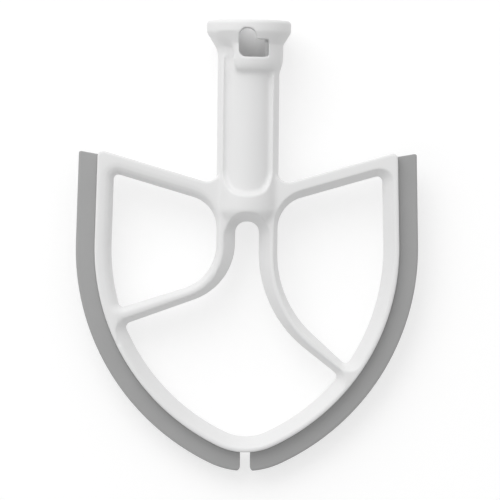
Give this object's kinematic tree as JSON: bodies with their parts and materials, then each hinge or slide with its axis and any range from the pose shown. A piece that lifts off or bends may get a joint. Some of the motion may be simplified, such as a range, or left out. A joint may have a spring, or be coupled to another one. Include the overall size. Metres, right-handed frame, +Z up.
{
  "type": "stand mixer flat beater",
  "caption": "Shield-shaped mixer beater: a white moulded frame of curved ribs under a round drive stem, with soft grey scraper wings along its outer edge.",
  "frame": {"origin": "centre of the drive socket's mouth, on the collar's top face", "axes": "+X to the right seen from the front, +Y away from the viewer, +Z up along the drive axis and out of the socket"},
  "size_m": [0.1438, 0.0354, 0.1889],
  "materials": {
    "frame": "white, faintly textured moulding",
    "wing": "matte grey"
  },
  "bodies": {
    "root": {"beater_frame": "frame", "left_scraper_wing": "wing", "right_scraper_wing": "wing"}
  },
  "joints": []
}
